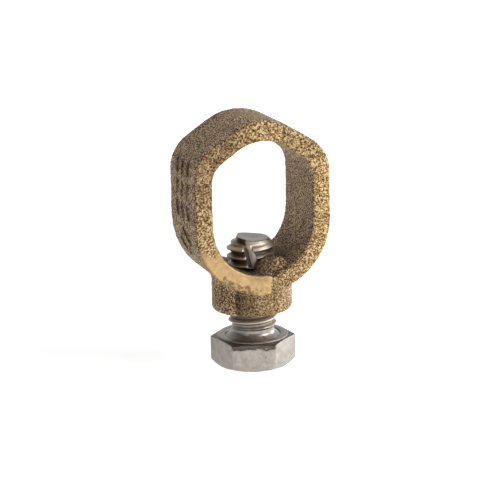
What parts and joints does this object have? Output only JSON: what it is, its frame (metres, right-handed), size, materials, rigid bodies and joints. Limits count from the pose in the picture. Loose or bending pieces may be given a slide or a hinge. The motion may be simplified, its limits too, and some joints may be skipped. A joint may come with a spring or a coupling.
{
  "type": "ground rod clamp",
  "caption": "Cast bronze link-shaped ring on a round tapped boss, with a hex-head set bolt that squeezes a ground rod and its conductor against the ring's roof.",
  "frame": {"origin": "on the bolt's axis, at the outer end of the hex head, which is the face that the clamp stands on", "axes": "+Z along the bolt from head to tip and on to the ring's apex, +Y along the ring's opening from front face to back face, +X across the ring"},
  "size_m": [0.0266, 0.0162, 0.0485],
  "materials": {
    "cast_bronze": "sand cast, speckled golden brown, with one ground patch low on the front face",
    "bolt_steel": "plain stainless steel, lightly scratched"
  },
  "bodies": {
    "clamp": {"clamp_body": "cast_bronze"},
    "bolt_carrier": {"bolt_washer_face": "bolt_steel"},
    "bolt": {"set_bolt": "bolt_steel"}
  },
  "joints": [
    {"name": "bolt_travel", "type": "slide", "parent": "clamp", "child": "bolt_carrier", "axis": [0, 0, 1], "range_m": [-0.006, 0.0036]},
    {"name": "bolt_turn", "type": "hinge", "parent": "bolt_carrier", "child": "bolt", "pos_m": [0, 0, 0], "axis": [0, 0, 1], "range_deg": [-1350, 810]}
  ],
  "couplings": [
    {"joint": "bolt_travel", "follows": "bolt_turn", "m_per_rad": 0.00025266}
  ]
}
